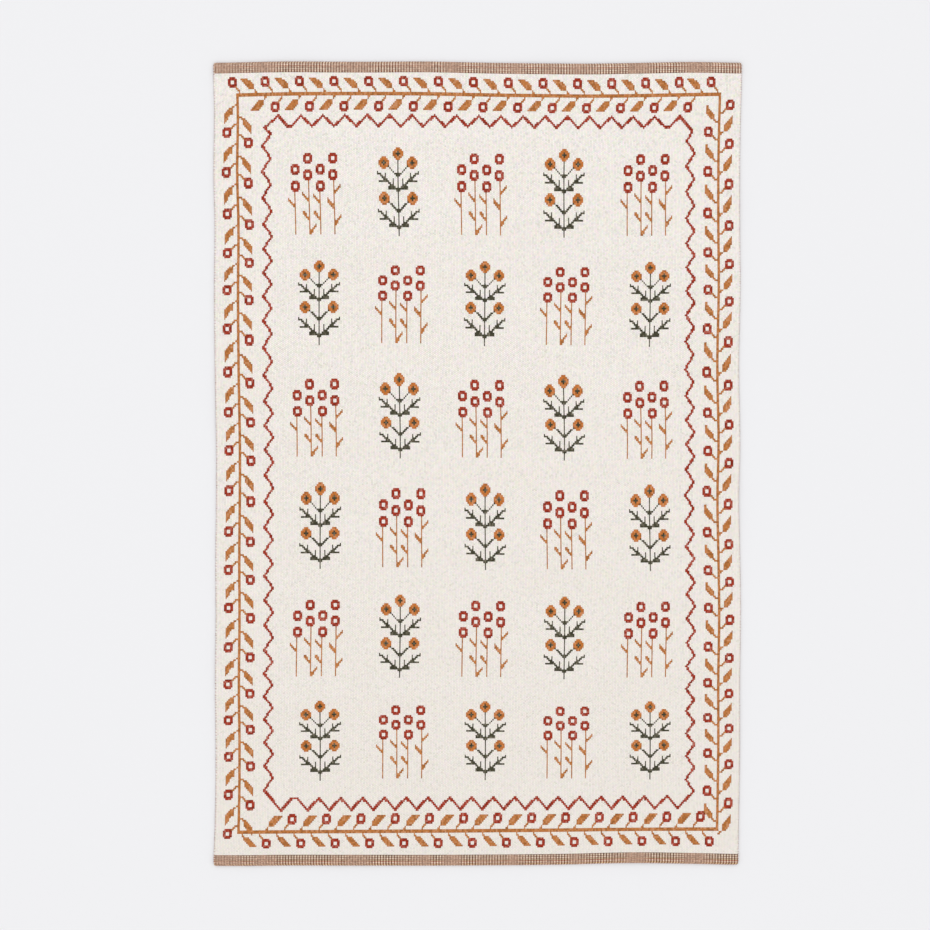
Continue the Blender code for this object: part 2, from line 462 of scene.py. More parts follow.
def band_section(end, u, from_field):
    """The face and back of an end band across the whole cloth, and their places on the two grids."""
    share = selvedge_share(u)
    scallop = selvedge_scallop(u, round(from_field / BAND_ROW))
    sides = []
    for outward in (-(1 - share) / 2, -(1 + share) / 2):
        x, y, z = lay_band(end, u, from_field, outward * BAND_THICKNESS)
        weave = np.column_stack((u, np.full_like(u, FIRST_ROW if end == FAR else LAST_ROW), np.zeros_like(u)))
        row = np.full_like(u, from_field / BAND_ROW)
        band = np.column_stack((u * BAND_COLUMNS / COLUMNS, row, np.full_like(u, end == NEAR)))
        sides.append(np.column_stack((x + scallop, y, z, weave, band)))
    return np.vstack((sides[0], sides[1][::-1]))


def field_section(u, row):
    """The face and back of the field across the whole cloth at one row, and their places on the two grids."""
    share = selvedge_share(u)
    x, y, top, thickness = lay_field(u, np.full_like(u, row))
    x = x + selvedge_scallop(u, row)
    weave = np.column_stack((u, np.full_like(u, row), np.zeros_like(u)))
    band = np.column_stack((u * BAND_COLUMNS / COLUMNS, np.zeros_like(u), np.full_like(u, row > LAST_ROW / 2)))
    sides = [
        np.column_stack((x, y, top - thickness * (1 + way * share) / 2, weave, band))
        for way in (-1, 1)
    ]
    return np.vstack((sides[0], sides[1][::-1]))


def make_mesh(name, points, faces, attributes):
    """A mesh piece in the scene, with a vector attribute a point for each named set of places."""
    mesh = bpy.data.meshes.new(name)
    mesh.from_pydata(points, [], faces)
    for attribute, values in attributes.items():
        layer = mesh.attributes.new(attribute, "FLOAT_VECTOR", "POINT")
        layer.data.foreach_set("vector", np.asarray(values, np.float32).ravel())
    piece = bpy.data.objects.new(name, mesh)
    bpy.context.scene.collection.objects.link(piece)
    return piece


def weave_cloth():
    """The whole cloth in one closed piece: hem, fold, band, field, band, fold and hem."""
    u = cloth_columns()
    stations = band_stations()
    sections = [band_section(FAR, u, along) for along in stations[::-1]]
    sections += [field_section(u, row) for row in range(FIRST_ROW, LAST_ROW + 1)]
    sections += [band_section(NEAR, u, along) for along in stations]
    around = len(sections[0])
    across = len(u)
    first = np.arange(len(sections) - 1)[:, None] * around
    place = np.arange(around)
    following = (place + 1) % around
    quads = np.stack((first + place, first + around + place, first + around + following, first + following), axis=-1)
    last = (len(sections) - 1) * around
    step = np.arange(across - 1)
    other = around - 1 - step
    start_cap = np.column_stack((step, step + 1, other - 1, other))
    end_cap = np.column_stack((other, other - 1, step + 1, step)) + last
    faces = np.vstack((start_cap, quads.reshape(-1, 4), end_cap))
    points = np.vstack(sections)
    piece = make_mesh("woven_cloth", points[:, :3], faces.tolist(), {"weave": points[:, 3:6], "band": points[:, 6:]})
    is_band = np.zeros(len(faces), int)
    folded = len(stations) * around + len(start_cap)
    is_band[:folded] = 1
    is_band[-folded:] = 1
    piece.data.polygons.foreach_set("material_index", is_band)
    piece.data.polygons.foreach_set("use_smooth", np.ones(len(faces), bool))
    return piece


def cell_middle(column, row):
    """Where the middle of a stitch lies on the grid."""
    return column + 0.5, row + 0.5


def stroke(points, reach):
    """The stitches whose middles lie within reach of a line through these places."""
    cells = set()
    for (u0, r0), (u1, r1) in zip(points, points[1:]):
        span_u = u1 - u0
        span_r = r1 - r0
        length = span_u**2 + span_r**2
        for column in range(math.floor(min(u0, u1) - reach) - 1, math.ceil(max(u0, u1) + reach) + 1):
            for row in range(math.floor(min(r0, r1) - reach) - 1, math.ceil(max(r0, r1) + reach) + 1):
                u, r = cell_middle(column, row)
                share = min(max(((u - u0) * span_u + (r - r0) * span_r) / length, 0), 1)
                if math.hypot(u - u0 - share * span_u, r - r0 - share * span_r) <= reach:
                    cells.add((column, row))
    return cells


def filled(outline):
    """The stitches whose middles lie inside an outline."""
    cells = set()
    us = [place[0] for place in outline]
    rs = [place[1] for place in outline]
    for column in range(math.floor(min(us)) - 1, math.ceil(max(us)) + 1):
        for row in range(math.floor(min(rs)) - 1, math.ceil(max(rs)) + 1):
            u, r = cell_middle(column, row)
            crossings = 0
            for (u0, r0), (u1, r1) in zip(outline, outline[1:] + outline[:1]):
                if (u0 <= u) != (u1 <= u) and r0 + (u - u0) / (u1 - u0) * (r1 - r0) > r:
                    crossings += 1
            if crossings % 2:
                cells.add((column, row))
    return cells


def rosette(u, r, runs):
    """A round motif, even on both sides: in the columns at each run's offset, the rows from low to high."""
    cells = set()
    for run in runs:
        for column in {math.floor(u + run.offset), math.floor(u - run.offset)}:
            for row in range(math.floor(r - run.high) - 1, math.ceil(r + run.high) + 1):
                if run.low <= abs(cell_middle(column, row)[1] - r) <= run.high:
                    cells.add((column, row))
    return cells


def repeats(first, count):
    """Places one border repeat apart."""
    return [first + BORDER_REPEAT * step for step in range(count)]


VINES = [
    Vine(11, (-1, 0), (0, -1), 7, [12, *repeats(33, 13), 318], [*repeats(27.4, 13), 312.4]),
    Vine(11, (-1, 0), (0, 1), 7, repeats(39, 13), repeats(33.5, 13)),
    Vine(427, (1, 0), (0, -1), 7, repeats(49, 13), repeats(32.5, 13)),
    Vine(427, (1, 0), (0, 1), 7, repeats(33, 14), repeats(17, 14)),
    Vine(15, (0, 1), (-1, 0), 7, repeats(32, 19), repeats(16.2, 19)),
    Vine(15, (0, 1), (1, 0), 7, repeats(38, 18), repeats(22.8, 19)),
    Vine(324, (0, -1), (1, 0), 7, repeats(17, 19), repeats(33.4, 19)),
    Vine(324, (0, -1), (-1, 0), 7, repeats(32, 18), repeats(26.9, 19)),
]


def vine_place(vine, along, ahead, out):
    """The place this far ahead and out from a place along a vine's stem."""
    u, r = (along, vine.stem) if vine.ahead[0] else (vine.stem, along)
    return u + ahead * vine.ahead[0] + out * vine.out[0], r + ahead * vine.ahead[1] + out * vine.out[1]


def chart_border():
    """The leafy vine with its berry rings, and the zigzag inside it."""
    vine_cells = filled([(14, 10), (325, 10), (325, 12), (14, 12)])
    vine_cells |= filled([(14, 426), (325, 426), (325, 428), (14, 428)])
    vine_cells |= filled([(14, 10), (16, 10), (16, 428), (14, 428)])
    vine_cells |= filled([(323, 10), (325, 10), (325, 428), (323, 428)])
    rings = set()
    for vine in VINES:
        for along in vine.leaves:
            vine_cells |= stroke([vine_place(vine, along, *place) for place in LEAF_STALK], FINE)
            vine_cells |= filled([vine_place(vine, along, *place) for place in LEAF_BODY])
        for along in vine.rings:
            vine_cells |= stroke([vine_place(vine, along, *place) for place in RING_STALK], FINE)
            rings |= rosette(*vine_place(vine, along, 0, vine.ring_out), RING)
    return vine_cells - rings, rings, stroke(zigzag_path(), ZIGZAG_REACH)


def zigzag_path():
    """The turns of the zigzag, once round the field from the far left corner."""
    far_peaks = np.linspace(55.5, 281.5, 17)
    far = [(41, 23), (47.3, 29.1), (49.3, 29.1)]
    for peak in far_peaks:
        far += [(peak, 23), (peak + 7, 29.1)]
    far += [(291.3, 29.1), (298, 23)]
    right = [(306.6, 31.8), (303, 37)]
    for turn in np.linspace(43.8, 406.3, 27):
        right += [(308.3, turn), (303, turn + 7)]
    near = [(298, 415.3), (291, 408.6)]
    for valley in np.linspace(282.7, 58.7, 17):
        near += [(valley, 415.3), (valley - 7, 408.6)]
    near[-1] = (52.3, 408.6)
    near += [(48.3, 408.6), (41.8, 415.3)]
    left = []
    for turn in np.linspace(403.7, 39.7, 27):
        left += [(30.9, turn), (36.3, turn - 7)]
    left[-1] = (36.3, 33.4)
    left += [(32.3, 29.6)]
    return far + right[:-1] + near + left + far[:1]


def chart_marigold(u, top):
    """One sprig of marigolds, with its stems, its heads and the dark hearts of the heads."""
    stems = filled([(u - 0.5, top + 7), (u + 0.5, top + 7), (u + 0.5, top + 47.6), (u - 0.5, top + 47.6)])
    for line in MARIGOLD_STEMS:
        for side in (-1, 1):
            stems |= stroke([(u + side * out, top + down) for out, down in line], FINE)
    heads = set()
    hearts = set()
    for out, down in MARIGOLD_HEADS:
        heads |= rosette(u + out, top + down, HEAD)
        hearts |= rosette(u + out, top + down, HEART)
    return (stems - heads) | hearts, heads - hearts


def chart_bunch(u, top):
    """One bunch of four tall flowers, with their stalks and their rings."""
    stalks = set()
    rings = set()
    for flower in BUNCH_FLOWERS:
        centre = u + flower.out
        stem = centre + flower.stem_out
        first = top + flower.rings[-1]
        stalks |= filled([(stem - 0.5, first), (stem + 0.5, first), (stem + 0.5, top + 47), (stem - 0.5, top + 47)])
        for side, down in flower.leaves:
            leaf = [(stem + side * out, top + down - up) for out, up in BUNCH_LEAF]
            stalks |= stroke(leaf, BUNCH_LEAF_REACH)
        for down in flower.rings:
            rings |= rosette(centre, top + down, RING)
            stalks -= rosette(centre, top + down, RING_HOLE)
    return stalks - rings, rings


def chart_field():
    """The six rows of sprigs, marigolds and tall flowers in turn, set a half repeat over in every second row."""
    charts = {"stems": set(), "heads": set(), "stalks": set(), "rings": set()}
    for row, top in enumerate(SPRIG_ROWS):
        for column, u in enumerate(SPRIG_COLUMNS[row % 2]):
            if (row + column) % 2:
                stems, heads = chart_marigold(u + 0.5, top)
                charts["stems"] |= stems
                charts["heads"] |= heads
            else:
                stalks, rings = chart_bunch(u, top)
                charts["stalks"] |= stalks
                charts["rings"] |= rings
    return charts


def stitch_piece(name, cells, beside, narrowing, settings):
    """Raise a chart's stitches as one piece: a low crown over each, sides that go into the cloth, and a flat bottom.

    A side is open, and drawn in, only where no stitch of another colour lies beside it.
    """
    count = len(cells)
    both = np.array(sorted(cells) + sorted(beside - cells))
    corners = both[:, None] + np.array(CELL_CORNERS)
    places, corner_of, shared_by = np.unique(corners.reshape(-1, 2), axis=0, return_inverse=True, return_counts=True)
    middles = both + 0.5
    sums = np.zeros((len(places), 2))
    np.add.at(sums, corner_of.ravel(), np.repeat(middles, 4, axis=0))
    drawn = places + (sums / shared_by[:, None] - places) * 2 * np.array(narrowing)
    used, corner_of = np.unique(corner_of.reshape(-1, 4)[:count], return_inverse=True)
    corner_of = corner_of.reshape(-1, 4)
    places = places[used]
    drawn = drawn[used]
    middles = middles[:count]
    x, y, z, _ = lay_field(drawn[:, 0], drawn[:, 1])
    edge = np.column_stack((x, y, z + settings.stitch_height * STITCH_EDGE))
    foot = np.column_stack((x, y, z - STITCH_FOOT))
    x, y, z, _ = lay_field(middles[:, 0], middles[:, 1])
    crown = np.column_stack((x, y, z + settings.stitch_height))
    following = np.roll(corner_of, -1, axis=1)
    crown_of = np.repeat(2 * len(used) + np.arange(count), 4)
    fans = np.column_stack((crown_of, following.ravel(), corner_of.ravel()))
    walls = outer_edges(corner_of, following)
    sides = np.column_stack((walls, walls[:, ::-1] + len(used)))
    faces = fans.tolist() + sides.tolist() + (corner_of + len(used)).tolist()
    weave = np.vstack((places, places, middles))
    weave = np.column_stack((weave, np.ones(len(weave))))
    piece = make_mesh(name, np.vstack((edge, foot, crown)), faces, {"weave": weave})
    piece.data.polygons.foreach_set("use_smooth", np.arange(len(faces)) < len(fans))
    return piece


def outer_edges(first, second):
    """The edges that only one stitch has, each in that stitch's own direction."""
    edges = np.column_stack((first.ravel(), second.ravel()))
    ordered = np.sort(edges, axis=1)
    _, index, count = np.unique(ordered, axis=0, return_inverse=True, return_counts=True)
    return edges[count[index.ravel()] == 1]


def strand_piece(name, points, attributes):
    """Many closed strands in one piece. The points are given strand by strand, station by station and then around."""
    strands, stations, around = points.shape[:3]
    index = np.arange(strands * stations * around).reshape(strands, stations, around)
    ahead = index[:, 1:]
    behind = index[:, :-1]
    sides = np.stack((behind, np.roll(behind, -1, axis=2), np.roll(ahead, -1, axis=2), ahead), axis=-1)
    faces = sides.reshape(-1, 4).tolist() + index[:, 0, ::-1].tolist() + index[:, -1].tolist()
    flat = {key: values.reshape(-1, 3) for key, values in attributes.items()}
    piece = make_mesh(name, points.reshape(-1, 3), faces, flat)
    smooth = np.arange(len(faces)) < len(faces) - 2 * strands
    piece.data.polygons.foreach_set("use_smooth", smooth)
    return piece


def lay_band_columns():
    """The darker columns of both end bands. They run over the fold and back along the hem."""
    along = np.concatenate(([0.2 * MM], band_stations()[:-1], [HEM_END - 1.5 * MM]))
    strips = BAND_COLUMNS // 2
    shape = (strips, len(along), len(BAND_STRIP))
    parts = []
    for end in (FAR, NEAR):
        middle = (np.arange(strips) * 2 + 1.5) * COLUMNS / BAND_COLUMNS
        across = np.array([point[0] for point in BAND_STRIP]) * COLUMNS / BAND_COLUMNS
        u = np.clip(middle[:, None, None] + across, 0.35, COLUMNS - 0.35)
        outward = np.array([point[1] for point in BAND_STRIP])
        x, y, z = lay_band(end, u, along[None, :, None], outward[None, None, :])
        places = np.stack((
            np.broadcast_to(u * BAND_COLUMNS / COLUMNS, shape),
            np.broadcast_to(along[None, :, None] / BAND_ROW, shape),
            np.full(shape, float(end == NEAR)),
        ), axis=-1)
        points = np.stack(np.broadcast_arrays(x, y, z), axis=-1)
        if end == FAR:
            points = points[:, :, ::-1]
            places = places[:, :, ::-1]
        parts.append((points, places))
    points = np.concatenate([part[0] for part in parts])
    places = np.concatenate([part[1] for part in parts])
    return strand_piece("band_columns", points, {"band": places})


def tube_points(paths, wide, high):
    """Points around each path, as far out as half its width and height at every station."""
    ahead = np.gradient(paths, axis=1)
    ahead /= np.linalg.norm(ahead, axis=2, keepdims=True)
    turned = np.cross(ahead, np.roll(ahead, -1, axis=2) + (0.3, 0.5, 0.8))
    turned /= np.linalg.norm(turned, axis=2, keepdims=True)
    other = np.cross(ahead, turned)
    angles = 2 * math.pi * np.arange(TUBE_SIDES) / TUBE_SIDES
    ends = np.ones(paths.shape[1])
    ends[[0, -1]] = 0.5
    circle = turned[:, :, None] * np.cos(angles)[:, None] * wide + other[:, :, None] * np.sin(angles)[:, None] * high
    return paths[:, :, None] + circle * ends[:, None, None]


def turn_selvedges():
    """Yarn ends that turn round both bound sides, at uneven distances."""
    rng = np.random.default_rng(SEED + 1)
    paths = []
    for side in (-1, 1):
        steps = rng.uniform(*TURN_PITCH, int((RUG_HIGH[1] - RUG_LOW[1]) / TURN_PITCH[0]))
        places = RUG_LOW[1] + CORNER_RADIUS + np.cumsum(steps)
        places = places[places < RUG_HIGH[1] - CORNER_RADIUS]
        left, right = side_edges(places)
        edge = left if side < 0 else right
        near, far = end_edges(edge)
        top, thickness = field_height(np.minimum(places - near, far - places))
        inward = edge - side * TURN_OVER
        lift = lift_at(inward, places) + top - thickness / 2
        half = thickness / 2
        slant = rng.uniform(-1, 1, len(places)) * TURN_SLANT
        stations = []
        for turn in np.linspace(-1, 1, 7):
            out = math.cos(turn * math.pi / 2)
            x = inward + side * (TURN_OVER + TURN_OUT) * out
            z = lift + (half + 0.1 * MM) * math.sin(turn * math.pi / 2)
            stations.append(np.stack((x, places + slant * turn, z), axis=-1))
        paths.append(np.stack(stations, axis=1))
    points = tube_points(np.concatenate(paths), TURN_WIDE / 2, TURN_HIGH / 2)
    return strand_piece("selvedge_turns", points, {"weave": points * 1000})


def sew_hems():
    """Overhand stitches that hold the hems' cut edges to the underside."""
    count = int((RUG_HIGH[0] - RUG_LOW[0]) / HEM_STITCH_PITCH)
    places = np.linspace(RUG_LOW[0] + 12 * MM, RUG_HIGH[0] - 12 * MM, count)
    paths = []
    for end in (FAR, NEAR):
        near, far = end_edges(places)
        stations = []
        for inward, height, aside in HEM_STITCH:
            y = far - inward * MM if end == FAR else near + inward * MM
            x = places + aside * MM
            stations.append(np.stack((x, y, lift_at(x, y) + height * MM), axis=-1))
        paths.append(np.stack(stations, axis=1))
    points = tube_points(np.concatenate(paths), 0.45 * MM, 0.45 * MM)
    return strand_piece("hem_stitches", points, {"weave": points * 1000})


def linear(code):
    """The linear colour of an sRGB hex code, as the materials take it."""
    values = [int(code[place:place + 2], 16) / 255 for place in (0, 2, 4)]
    return tuple(v / 12.92 if v <= 0.04045 else ((v + 0.055) / 1.055) ** 2.4 for v in values)


def add(tree, kind, inputs=None, **settings):
    """Add a node with its settings, and give each of its inputs a value or a link."""
    node = tree.nodes.new(kind)
    for key, value in settings.items():
        setattr(node, key, value)
    for key, value in (inputs or {}).items():
        if isinstance(value, bpy.types.NodeSocket):
            tree.links.new(value, node.inputs[key])
        else:
            node.inputs[key].default_value = value
    return node


def fill_ramp(ramp, stops, interpolation="LINEAR"):
    """Give a colour ramp its stops, each a place and a linear colour."""
    ramp.interpolation = interpolation
    while len(ramp.elements) < len(stops):
        ramp.elements.new(1.0)
    for element, (place, colour) in zip(ramp.elements, stops):
        element.position = place
        element.color = (*colour, 1.0)


def mix(first, second, share):
    """A colour this share of the way from one to the other."""
    return tuple(a + (b - a) * share for a, b in zip(first, second))


def lay_grid(tree, attribute, half_drop):
    """Nodes that read which cell of the weave a point lies in, and where in that cell.

    Returns the cell as a vector, and the places across and along it from 0 to 1.
    """
    grid = add(tree, "ShaderNodeAttribute", attribute_type="GEOMETRY", attribute_name=attribute)
    apart = add(tree, "ShaderNodeSeparateXYZ", {0: grid.outputs["Vector"]})
    column = add(tree, "ShaderNodeMath", {0: apart.outputs["X"]}, operation="FLOOR").outputs[0]
    odd = add(tree, "ShaderNodeMath", {0: column, 1: 2.0}, operation="FLOORED_MODULO").outputs[0]
    down = add(
        tree, "ShaderNodeMath", {0: odd, 1: -half_drop, 2: apart.outputs["Y"]}, operation="MULTIPLY_ADD"
    ).outputs[0]
    row = add(tree, "ShaderNodeMath", {0: down}, operation="FLOOR").outputs[0]
    across = add(tree, "ShaderNodeMath", {0: apart.outputs["X"]}, operation="FRACT").outputs[0]
    along = add(tree, "ShaderNodeMath", {0: down}, operation="FRACT").outputs[0]
    cell = add(tree, "ShaderNodeCombineXYZ", {0: column, 1: row, 2: apart.outputs["Z"]}).outputs[0]
    return cell, across, along


def bead_height(tree, across, along):
    """Nodes for the rounded top of each stitch, from 0 in the joints to 1 in its middle."""
    heights = []
    for place in (across, along):
        angle = add(tree, "ShaderNodeMath", {0: place, 1: math.pi}, operation="MULTIPLY").outputs[0]
        wave = add(tree, "ShaderNodeMath", {0: angle}, operation="SINE").outputs[0]
        heights.append(add(tree, "ShaderNodeMath", {0: wave, 1: 0.6}, operation="POWER").outputs[0])
    return add(tree, "ShaderNodeMath", {0: heights[0], 1: heights[1]}, operation="MULTIPLY").outputs[0]


def blend_colours(tree, share, first, second, way="MIX"):
    """Nodes that blend two colours."""
    node = add(tree, "ShaderNodeMix", {0: share, 6: first, 7: second}, data_type="RGBA", blend_type=way)
    return node.outputs[2]


def scale_between(tree, value, low, high):
    """Nodes that take a value from 0 to 1 onto another span."""
    return add(tree, "ShaderNodeMapRange", {0: value, 3: low, 4: high}).outputs[0]


def wool_surface(tree, colour, height, bump):
    """Spun wool: quite rough, with a soft sheen off its fibres, over the relief of the weave and its yarn.

    A yarn's fibres are 0.03 mm across, so the fuzz is drawn coarser, at about 1 mm.
    """
    place = add(tree, "ShaderNodeTexCoord").outputs["Object"]
    fuzz = add(tree, "ShaderNodeTexNoise", {"Vector": place, "Scale": 900.0, "Detail": 2.0}).outputs[0]
    relief = add(tree, "ShaderNodeMath", {0: fuzz, 1: 0.35, 2: height}, operation="MULTIPLY_ADD").outputs[0]
    normal = add(
        tree, "ShaderNodeBump", {"Height": relief, "Distance": bump, "Strength": 1.0}
    ).outputs[0]
    surface = add(
        tree,
        "ShaderNodeBsdfPrincipled",
        {
            "Base Color": colour,
            "Roughness": 0.92,
            "IOR": 1.5,
            "Specular IOR Level": 0.12,
            "Sheen Weight": 0.03,
            "Sheen Roughness": 0.6,
            "Normal": normal,
        },
    )
    add(tree, "ShaderNodeOutputMaterial", {0: surface.outputs[0]})


def new_material(name, colour):
    """An empty node material with a plain colour for the viewport."""
    material = bpy.data.materials.new(name)
    material.use_nodes = True
    material.node_tree.nodes.clear()
    material.diffuse_color = (*colour, 1.0)
    return material, material.node_tree


def dyed_wool(name, colour, spread):
    """Hand-dyed wool in tapestry stitches. Its tone changes from stitch to stitch and from one dip to the next."""
    material, tree = new_material(name, colour)
    cell, across, along = lay_grid(tree, "weave", 0.0)
    noise = add(tree, "ShaderNodeTexWhiteNoise", {"Vector": cell}, noise_dimensions="3D").outputs[0]
    tones = add(tree, "ShaderNodeValToRGB", {0: noise})
    dark = mix(colour, (0, 0, 0), min(spread * 1.2, 0.8))
    light = mix(colour, (1, 0.85, 0.7), spread * 0.42)
    fill_ramp(tones.color_ramp, [(0.0, dark), (0.35, mix(dark, colour, 0.75)), (0.65, colour), (1.0, light)])
    place = add(tree, "ShaderNodeTexCoord").outputs["Object"]
    dips = add(tree, "ShaderNodeTexNoise", {"Vector": place, "Scale": 9.0, "Detail": 1.0}).outputs[0]
    toned = blend_colours(
        tree, scale_between(tree, dips, 0.0, 0.5), tones.outputs[0], (*mix(colour, dark, 0.5), 1.0)
    )
    bead = bead_height(tree, across, along)
    # Painted shade: the colour is darkened in the joints between stitches, where the valleys between the beads lie in
    # shade
    painted_joint_shade = scale_between(tree, bead, 0.86, 1.03)
    shaded = blend_colours(tree, 1.0, toned, painted_joint_shade, "MULTIPLY")
    wool_surface(tree, shaded, bead, 0.25 * MM)
    return material


def cream_ground(settings):
    """Undyed cream wool in tapestry weave. Darker fibres and the warp show as small flecks where the stitches meet."""
    colour = tuple(settings.cream)
    material, tree = new_material("undyed_cream_wool_flatwoven", colour)
    cell, across, along = lay_grid(tree, "weave", 0.5)
    noise = add(tree, "ShaderNodeTexWhiteNoise", {"Vector": cell}, noise_dimensions="3D")
    tones = add(tree, "ShaderNodeValToRGB", {0: noise.outputs["Value"]})
    fill_ramp(
        tones.color_ramp,
        [
            (0.0, mix(colour, linear("D9CFC4"), 0.3)),
            (0.2, mix(colour, linear("E8DFD3"), 0.25)),
            (0.55, colour),
            (1.0, mix(colour, (1, 1, 1), 0.35)),
        ],
    )
    place = add(tree, "ShaderNodeTexCoord").outputs["Object"]
    stretched = add(
        tree, "ShaderNodeMapping", {"Vector": place, "Scale": (1.2, 7.0, 1.0)}, vector_type="POINT"
    ).outputs[0]
    lots = add(tree, "ShaderNodeTexNoise", {"Vector": stretched, "Scale": 1.6, "Detail": 2.0}).outputs[0]
    toned = blend_colours(
        tree, scale_between(tree, lots, 0.0, 0.4), tones.outputs[0], (*mix(colour, linear("E9DCCB"), 0.8), 1.0)
    )
    mottle = add(tree, "ShaderNodeTexWhiteNoise", {"Vector": cell}, noise_dimensions="3D").outputs["Color"]
    toned = blend_colours(tree, 0.1, toned, mottle)
    depth = add(tree, "ShaderNodeSeparateXYZ", {0: place}).outputs["Y"]
    darker = add(tree, "ShaderNodeMapRange", {0: depth, 1: -1.2, 2: 1.2, 3: 0.5, 4: 0.0}).outputs[0]
    toned = blend_colours(tree, darker, toned, (*mix(colour, linear("D9D0C4"), 0.6), 1.0))
    fleck_tones = add(tree, "ShaderNodeValToRGB", {0: noise.outputs["Color"]})
    fill_ramp(
        fleck_tones.color_ramp,
        [(0.0, linear("C9B6AC")), (0.4, linear("CFC3B0")), (0.65, linear("BDB5A9")), (1.0, linear("D8BDB0"))],
    )
    picked = add(tree, "ShaderNodeMath", {0: noise.outputs["Value"], 1: FLECK_SHARE}, operation="LESS_THAN").outputs[0]
    low = add(tree, "ShaderNodeMapRange", {0: along, 1: 0.45, 2: 0.95}, interpolation_type="SMOOTHSTEP").outputs[0]
    fleck = add(tree, "ShaderNodeMath", {0: picked, 1: low}, operation="MULTIPLY").outputs[0]
    patches = add(tree, "ShaderNodeTexNoise", {"Vector": place, "Scale": 14.0, "Detail": 1.0}).outputs[0]
    strength = add(
        tree, "ShaderNodeMapRange", {0: patches, 1: 0.3, 2: 0.7, 3: 0.15, 4: 0.6}
    ).outputs[0]
    fleck = add(tree, "ShaderNodeMath", {0: fleck, 1: strength}, operation="MULTIPLY").outputs[0]
    flecked = blend_colours(tree, fleck, toned, fleck_tones.outputs[0])
    bead = bead_height(tree, across, along)
    # Painted shade: the colour is darkened in the joints between stitches, where the valleys between the beads lie in
    # shade. The flecks are the yarn's own colour
    painted_joint_shade = scale_between(tree, bead, 0.82, 1.04)
    shaded = blend_colours(tree, 1.0, flecked, painted_joint_shade, "MULTIPLY")
    wool_surface(tree, shaded, bead, 0.5 * MM)
    return material


def striped_band(name, tones, depth):
    """Yarns of several dyes in plain weave, one pick of each, so the band is striped along and ribbed across."""
    material, tree = new_material(name, linear(tones[0]))
    cell, across, along = lay_grid(tree, "band", 0.0)
    apart = add(tree, "ShaderNodeSeparateXYZ", {0: cell})
    count = len(tones)
    shifted = add(
        tree, "ShaderNodeMath", {0: apart.outputs["Z"], 1: count / 2, 2: apart.outputs["Y"]}, operation="MULTIPLY_ADD"
    ).outputs[0]
    pick = add(tree, "ShaderNodeMath", {0: shifted, 1: float(count)}, operation="FLOORED_MODULO").outputs[0]
    share = add(tree, "ShaderNodeMath", {0: pick, 1: 0.5}, operation="ADD").outputs[0]
    share = add(tree, "ShaderNodeMath", {0: share, 1: float(count)}, operation="DIVIDE").outputs[0]
    dyes = add(tree, "ShaderNodeValToRGB", {0: share})
    stops = [(index / count, linear(code)) for index, code in enumerate(tones)]
    fill_ramp(dyes.color_ramp, stops, "CONSTANT")
    noise = add(tree, "ShaderNodeTexWhiteNoise", {"Vector": cell}, noise_dimensions="3D").outputs[0]
    uneven = scale_between(tree, noise, 1 - depth, 1 + depth * 0.7)
    beat = add(tree, "ShaderNodeMath", {0: apart.outputs["X"], 1: 0.045}, operation="MULTIPLY").outputs[0]
    beat = add(tree, "ShaderNodeTexNoise", {"W": beat, "Scale": 1.0, "Detail": 2.0}, noise_dimensions="1D").outputs[0]
    faded = add(tree, "ShaderNodeMapRange", {0: beat, 1: 0.42, 2: 0.62, 3: 0.0, 4: 0.75}).outputs[0]
    mixed = blend_colours(tree, faded, dyes.outputs[0], (*linear(BAND_MIXED), 1.0))
    toned = blend_colours(tree, 1.0, mixed, uneven, "MULTIPLY")
    bead = bead_height(tree, across, along)
    # Painted shade: the colour is darkened in the joints between picks, where the valleys between the beads lie in
    # shade
    shaded = blend_colours(tree, 1.0, toned, scale_between(tree, bead, 0.8, 1.04), "MULTIPLY")
    wool_surface(tree, shaded, bead, 0.4 * MM)
    return material


def twisted_ends(settings):
    """Loose ends of grey-pink, rust and cream yarn where the weft turns. Each turn has a tone of its own."""
    material, tree = new_material("grey_pink_wool_yarn_ends", linear("C9ABA3"))
    place = add(tree, "ShaderNodeAttribute", attribute_type="GEOMETRY", attribute_name="weave").outputs["Vector"]
    apart = add(tree, "ShaderNodeSeparateXYZ", {0: place})
    lots = add(tree, "ShaderNodeTexNoise", {"Vector": place, "Scale": 0.21, "Detail": 3.0}).outputs[0]
    tones = add(tree, "ShaderNodeValToRGB", {0: lots})
    fill_ramp(
        tones.color_ramp,
        [
            (0.0, linear("8A5449")),
            (0.4, linear("A97D73")),
            (0.48, linear("BFA198")),
            (0.56, linear("DCCBC2")),
            (0.62, linear("9C6458")),
        ],
        "CONSTANT",
    )
    distance = add(tree, "ShaderNodeMath", {0: apart.outputs["Y"]}, operation="ABSOLUTE").outputs[0]
    at_band = add(
        tree, "ShaderNodeMath", {0: distance, 1: (RUG_HIGH[1] - BAND_WIDTH) / MM}, operation="GREATER_THAN"
    ).outputs[0]
    toned = blend_colours(tree, at_band, tones.outputs[0], (*linear("8F4438"), 1.0))
    wool_surface(tree, toned, lots, 0.2 * MM)
    return material


def sewing_thread():
    """Waxed cotton thread, smoother than the wool and a little glossy."""
    material, tree = new_material("waxed_cotton_thread", linear("DCCFBB"))
    surface = add(
        tree,
        "ShaderNodeBsdfPrincipled",
        {"Base Color": (*linear("DCCFBB"), 1.0), "Roughness": 0.6, "IOR": 1.5},
    )
    add(tree, "ShaderNodeOutputMaterial", {0: surface.outputs[0]})
    return material


def pale_floor():
    """Matt off-white studio floor. It has no pattern, as none shows."""
    material, tree = new_material("matt_white_paint", linear("E6E6E8"))
    surface = add(
        tree,
        "ShaderNodeBsdfPrincipled",
        {"Base Color": (*linear(FLOOR_COLOUR), 1.0), "Roughness": 0.95, "Specular IOR Level": 0.1},
    )
    add(tree, "ShaderNodeOutputMaterial", {0: surface.outputs[0]})
    return material


def finish_piece(piece, material):
    """Give a piece its material and let it ride with the rug."""
    piece.data.materials.append(material)
    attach(piece, "root")


